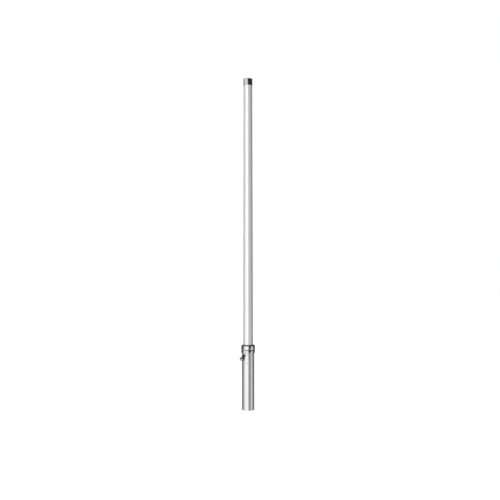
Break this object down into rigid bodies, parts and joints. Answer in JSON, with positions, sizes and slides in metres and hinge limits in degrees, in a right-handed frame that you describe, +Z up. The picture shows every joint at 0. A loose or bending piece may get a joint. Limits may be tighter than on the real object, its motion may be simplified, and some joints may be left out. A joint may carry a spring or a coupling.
{
  "type": "omnidirectional antenna",
  "caption": "Slim tapered white radome in a two-bead bright collar, on a polished steel mast tube with a thumb screw and an N socket inside.",
  "frame": {"origin": "on the antenna's axis at the lower end of the mast tube", "axes": "+Z up along the antenna's axis, towards the cap; the clamp screw points along -X"},
  "size_m": [0.0547, 0.045, 1.075],
  "materials": {
    "polished_steel": "polished",
    "bright_chrome": "polished",
    "white_fibreglass": "satin",
    "black_anodised": "satin",
    "nylon": "satin",
    "black_rubber": "matte",
    "nickel_brass": "polished",
    "gilt_contact": "polished",
    "bare_brass": "satin",
    "ptfe": "satin",
    "copper": "satin",
    "acetal": "satin",
    "circuit_board": "satin",
    "foam": "matte",
    "black_oxide": "satin"
  },
  "bodies": {
    "mast": {"mast_tube": "polished_steel", "screw_bush": "polished_steel"},
    "head": {"base_ferrule": "black_anodised", "stop_collar": "bright_chrome", "compression_ring": "nylon", "ferrule_o_ring": "black_rubber", "radome": "white_fibreglass", "top_cap": "bright_chrome", "cap_o_ring": "black_rubber", "connector_body": "nickel_brass", "connector_insulator": "ptfe", "connector_contact": "gilt_contact", "connector_gasket": "black_rubber", "connector_lock_washer": "nickel_brass", "connector_nut": "nickel_brass", "coax_core": "copper", "coax_dielectric": "ptfe", "coax_shield": "copper", "choke_sleeve": "bare_brass", "board_holder": "acetal", "element_board_lower": "circuit_board", "element_board_upper": "circuit_board", "board_splice": "circuit_board", "front_traces": "copper", "back_traces": "copper", "foam_spacers": "foam", "top_buffer": "foam"},
    "nut_ring": {"slip_washer": "nylon"},
    "nut": {"compression_nut": "bright_chrome"},
    "screw_seal": {"screw_washer": "black_rubber"},
    "screw": {"clamp_screw": "bright_chrome", "screw_grip": "black_oxide"}
  },
  "joints": [
    {"name": "head_lift", "type": "slide", "parent": "mast", "child": "head", "axis": [0, 0, 1], "range_m": [0, 0.07]},
    {"name": "nut_rise", "type": "slide", "parent": "head", "child": "nut_ring", "axis": [0, 0, 1], "range_m": [0, 0.003]},
    {"name": "nut_turn", "type": "hinge", "parent": "nut_ring", "child": "nut", "pos_m": [0, 0, 0.2], "axis": [0, 0, 1], "range_deg": [0, 720]},
    {"name": "screw_travel", "type": "slide", "parent": "mast", "child": "screw_seal", "axis": [-1, 0, 0], "range_m": [0, 0.003]},
    {"name": "screw_turn", "type": "hinge", "parent": "screw_seal", "child": "screw", "pos_m": [-0.022, 0, 0.1663], "axis": [-1, 0, 0], "range_deg": [0, 1080]}
  ],
  "couplings": [
    {"joint": "nut_rise", "follows": "nut_turn", "m_per_rad": 0.00023873},
    {"joint": "screw_travel", "follows": "screw_turn", "m_per_rad": 0.00015915}
  ]
}
